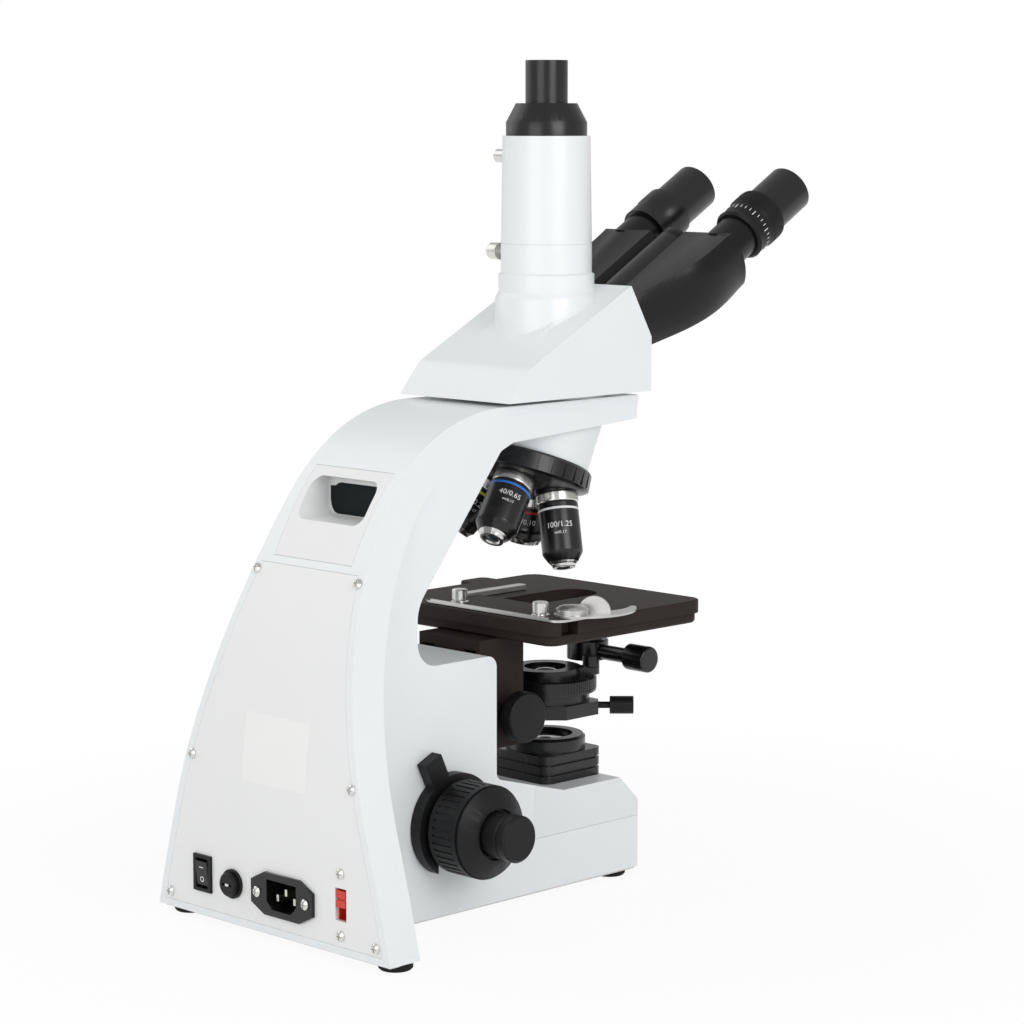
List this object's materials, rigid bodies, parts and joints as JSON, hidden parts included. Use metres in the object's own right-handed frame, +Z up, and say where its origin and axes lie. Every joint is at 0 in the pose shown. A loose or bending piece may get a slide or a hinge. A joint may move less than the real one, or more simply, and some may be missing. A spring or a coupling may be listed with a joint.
{
  "type": "trinocular microscope",
  "caption": "Upright laboratory microscope with a curved white stand, trinocular head, revolving nosepiece, mechanical stage, condenser and coaxial focus.",
  "frame": {"origin": "centre of the bounding box at table height, under the microscope", "axes": "+Z up, the user sits at -Y and looks along +Y, +X is the user's right; the optical axis is vertical at x = 0"},
  "size_m": [0.194, 0.4028, 0.4825],
  "materials": {
    "stand_white": "satin",
    "panel_white": "satin",
    "cover_white": "satin",
    "insert_white": "satin",
    "black_paint": "satin",
    "black_plastic": "matte",
    "black_gloss": "gloss",
    "plate_steel": "matte",
    "steel": "brushed",
    "chrome": "polished",
    "aluminium": "machined",
    "black_aluminium": "anodised",
    "brass": "machined",
    "rubber": "matte",
    "glass": "clear",
    "red_plastic": "satin"
  },
  "bodies": {
    "stand": {"stand_casting": "stand_white", "rear_panel": "panel_white", "rear_screws": "steel", "inlet_housing": "black_gloss", "inlet_pins": "steel", "switch_frame": "black_plastic", "fuse_holder": "black_plastic", "selector_body": "black_plastic", "handle_insert": "insert_white", "lamp_cover": "cover_white", "base_plate": "plate_steel", "rubber_feet": "rubber", "led_module": "aluminium", "lamp_plates": "black_aluminium", "field_lens": "glass", "column_rail": "steel", "nosepiece_mount": "stand_white"},
    "field_ring": {"field_ring": "black_aluminium"},
    "dimmer": {"dimmer_knob": "black_plastic"},
    "rocker": {"switch_rocker": "black_gloss"},
    "fuse_cap": {"fuse_cap": "black_plastic"},
    "selector": {"selector_slider": "red_plastic"},
    "coarse": {"focus_shaft": "steel", "coarse_knob_left": "black_plastic", "coarse_knob_right": "black_plastic"},
    "fine": {"fine_knob_left": "black_plastic", "fine_knob_right": "black_plastic"},
    "lever": {"limit_lever": "black_plastic"},
    "tension": {"tension_ring": "black_plastic"},
    "stage": {"stage_slide": "black_aluminium", "stage_lower_plate": "black_aluminium"},
    "stage_y": {"stage_upper_plate": "black_aluminium"},
    "stage_x": {"slide_holder": "steel", "holder_screws": "chrome"},
    "finger": {"spring_finger": "steel"},
    "x_knob": {"x_knob": "black_plastic"},
    "y_knob": {"y_knob": "black_plastic"},
    "condenser": {"condenser_carrier": "black_aluminium", "centring_screws": "black_plastic", "condenser_body": "black_aluminium", "condenser_lens": "glass"},
    "condenser_knob": {"condenser_knob": "black_plastic"},
    "iris": {"iris_ring": "black_aluminium"},
    "top_lens": {"top_lens_cell": "black_aluminium"},
    "nosepiece": {"turret": "black_aluminium", "objective_100x": "brass", "objective_40x": "brass", "objective_10x": "brass", "objective_4x": "brass"},
    "head": {"head_housing": "stand_white", "photo_tube": "stand_white", "photo_adapter": "black_aluminium", "tube_screw": "chrome", "head_hub": "black_aluminium"},
    "splitter": {"splitter_rod": "chrome"},
    "pod_left": {"pod_left": "black_plastic", "eyepiece_left": "black_plastic"},
    "pod_right": {"pod_right": "black_plastic", "eyepiece_right": "black_plastic"},
    "diopter": {"diopter_ring": "black_plastic"}
  },
  "joints": [
    {"name": "head_swivel", "type": "hinge", "parent": "stand", "child": "head", "pos_m": [0, -0.01997, 0.2907], "axis": [0, 0, 1], "continuous": true},
    {"name": "pod_right_swing", "type": "hinge", "parent": "head", "child": "pod_right", "pos_m": [0, -0.10658, 0.3556], "axis": [0, -0.866, 0.5], "range_deg": [0, 45]},
    {"name": "pod_left_swing", "type": "hinge", "parent": "head", "child": "pod_left", "pos_m": [0, -0.10658, 0.3556], "axis": [0, -0.866, 0.5], "range_deg": [-45, 0]},
    {"name": "diopter_turn", "type": "hinge", "parent": "pod_left", "child": "diopter", "pos_m": [-0.038, -0.14641, 0.3786], "axis": [0, -0.866, 0.5], "range_deg": [-60, 60]},
    {"name": "splitter_pull", "type": "slide", "parent": "head", "child": "splitter", "axis": [1, 0, 0], "range_m": [0, 0.012]},
    {"name": "nosepiece_turn", "type": "hinge", "parent": "stand", "child": "nosepiece", "pos_m": [0, -0.00037, 0.2352], "axis": [0, 0.3584, -0.9336], "continuous": true},
    {"name": "stage_lift", "type": "slide", "parent": "stand", "child": "stage", "axis": [0, 0, 1], "range_m": [-0.006, 0.013]},
    {"name": "coarse_turn", "type": "hinge", "parent": "stand", "child": "coarse", "pos_m": [0, 0.09803, 0.0575], "axis": [1, 0, 0], "range_deg": [-126, 59]},
    {"name": "fine_turn", "type": "hinge", "parent": "coarse", "child": "fine", "pos_m": [0, 0.09803, 0.0575], "axis": [1, 0, 0], "continuous": true},
    {"name": "limit_lever_turn", "type": "hinge", "parent": "stand", "child": "lever", "pos_m": [-0.043, 0.09803, 0.0575], "axis": [1, 0, 0], "range_deg": [0, 50]},
    {"name": "tension_turn", "type": "hinge", "parent": "stand", "child": "tension", "pos_m": [0.043, 0.09803, 0.0575], "axis": [1, 0, 0], "range_deg": [-30, 30]},
    {"name": "stage_y_travel", "type": "slide", "parent": "stage", "child": "stage_y", "axis": [0, 1, 0], "range_m": [-0.025, 0.025]},
    {"name": "stage_x_travel", "type": "slide", "parent": "stage_y", "child": "stage_x", "axis": [1, 0, 0], "range_m": [-0.027, 0.038]},
    {"name": "finger_open", "type": "hinge", "parent": "stage_x", "child": "finger", "pos_m": [-0.066, 0.02603, 0.168], "axis": [0, 0, -1], "range_deg": [0, 25], "stiffness_Nm_per_rad": 0.02, "springref_deg": -20.05},
    {"name": "y_knob_turn", "type": "hinge", "parent": "stage_y", "child": "y_knob", "pos_m": [0.0765, -0.03797, 0.128], "axis": [0, 0, 1], "range_deg": [-116, 116]},
    {"name": "x_knob_turn", "type": "hinge", "parent": "stage_y", "child": "x_knob", "pos_m": [0.0765, -0.03797, 0.11], "axis": [0, 0, 1], "range_deg": [-125, 176]},
    {"name": "condenser_lift", "type": "slide", "parent": "stage", "child": "condenser", "axis": [0, 0, 1], "range_m": [-0.002, 0.013]},
    {"name": "condenser_knob_turn", "type": "hinge", "parent": "stage", "child": "condenser_knob", "pos_m": [0, 0.03643, 0.109], "axis": [1, 0, 0], "range_deg": [-126, 20]},
    {"name": "top_lens_swing", "type": "hinge", "parent": "condenser", "child": "top_lens", "pos_m": [-0.02, -0.03797, 0.127], "axis": [0, 0, 1], "range_deg": [0, 84]},
    {"name": "iris_turn", "type": "hinge", "parent": "condenser", "child": "iris", "pos_m": [0, -0.01997, 0.1128], "axis": [0, 0, 1], "range_deg": [0, 60]},
    {"name": "field_ring_turn", "type": "hinge", "parent": "stand", "child": "field_ring", "pos_m": [0, -0.01997, 0.0815], "axis": [0, 0, 1], "range_deg": [0, 90]},
    {"name": "dimmer_turn", "type": "hinge", "parent": "stand", "child": "dimmer", "pos_m": [0.0392, 0.07203, 0.03], "axis": [1, 0, 0], "range_deg": [-135, 135]},
    {"name": "rocker_tilt", "type": "hinge", "parent": "stand", "child": "rocker", "pos_m": [0.0567, 0.19283, 0.0293], "axis": [1, 0, 0], "range_deg": [0, 16]},
    {"name": "fuse_cap_turn", "type": "hinge", "parent": "stand", "child": "fuse_cap", "pos_m": [0.031, 0.19633, 0.0278], "axis": [0, 1, 0], "range_deg": [0, 90]},
    {"name": "selector_slide", "type": "slide", "parent": "stand", "child": "selector", "axis": [0, 0, -1], "range_m": [0, 0.006]}
  ],
  "couplings": [
    {"joint": "pod_left_swing", "follows": "pod_right_swing", "ratio": -1},
    {"joint": "coarse_turn", "follows": "stage_lift", "rad_per_m": -166.67},
    {"joint": "condenser_knob_turn", "follows": "condenser_lift", "rad_per_m": -166.67},
    {"joint": "y_knob_turn", "follows": "stage_y_travel", "rad_per_m": 80},
    {"joint": "x_knob_turn", "follows": "stage_x_travel", "rad_per_m": 80}
  ]
}
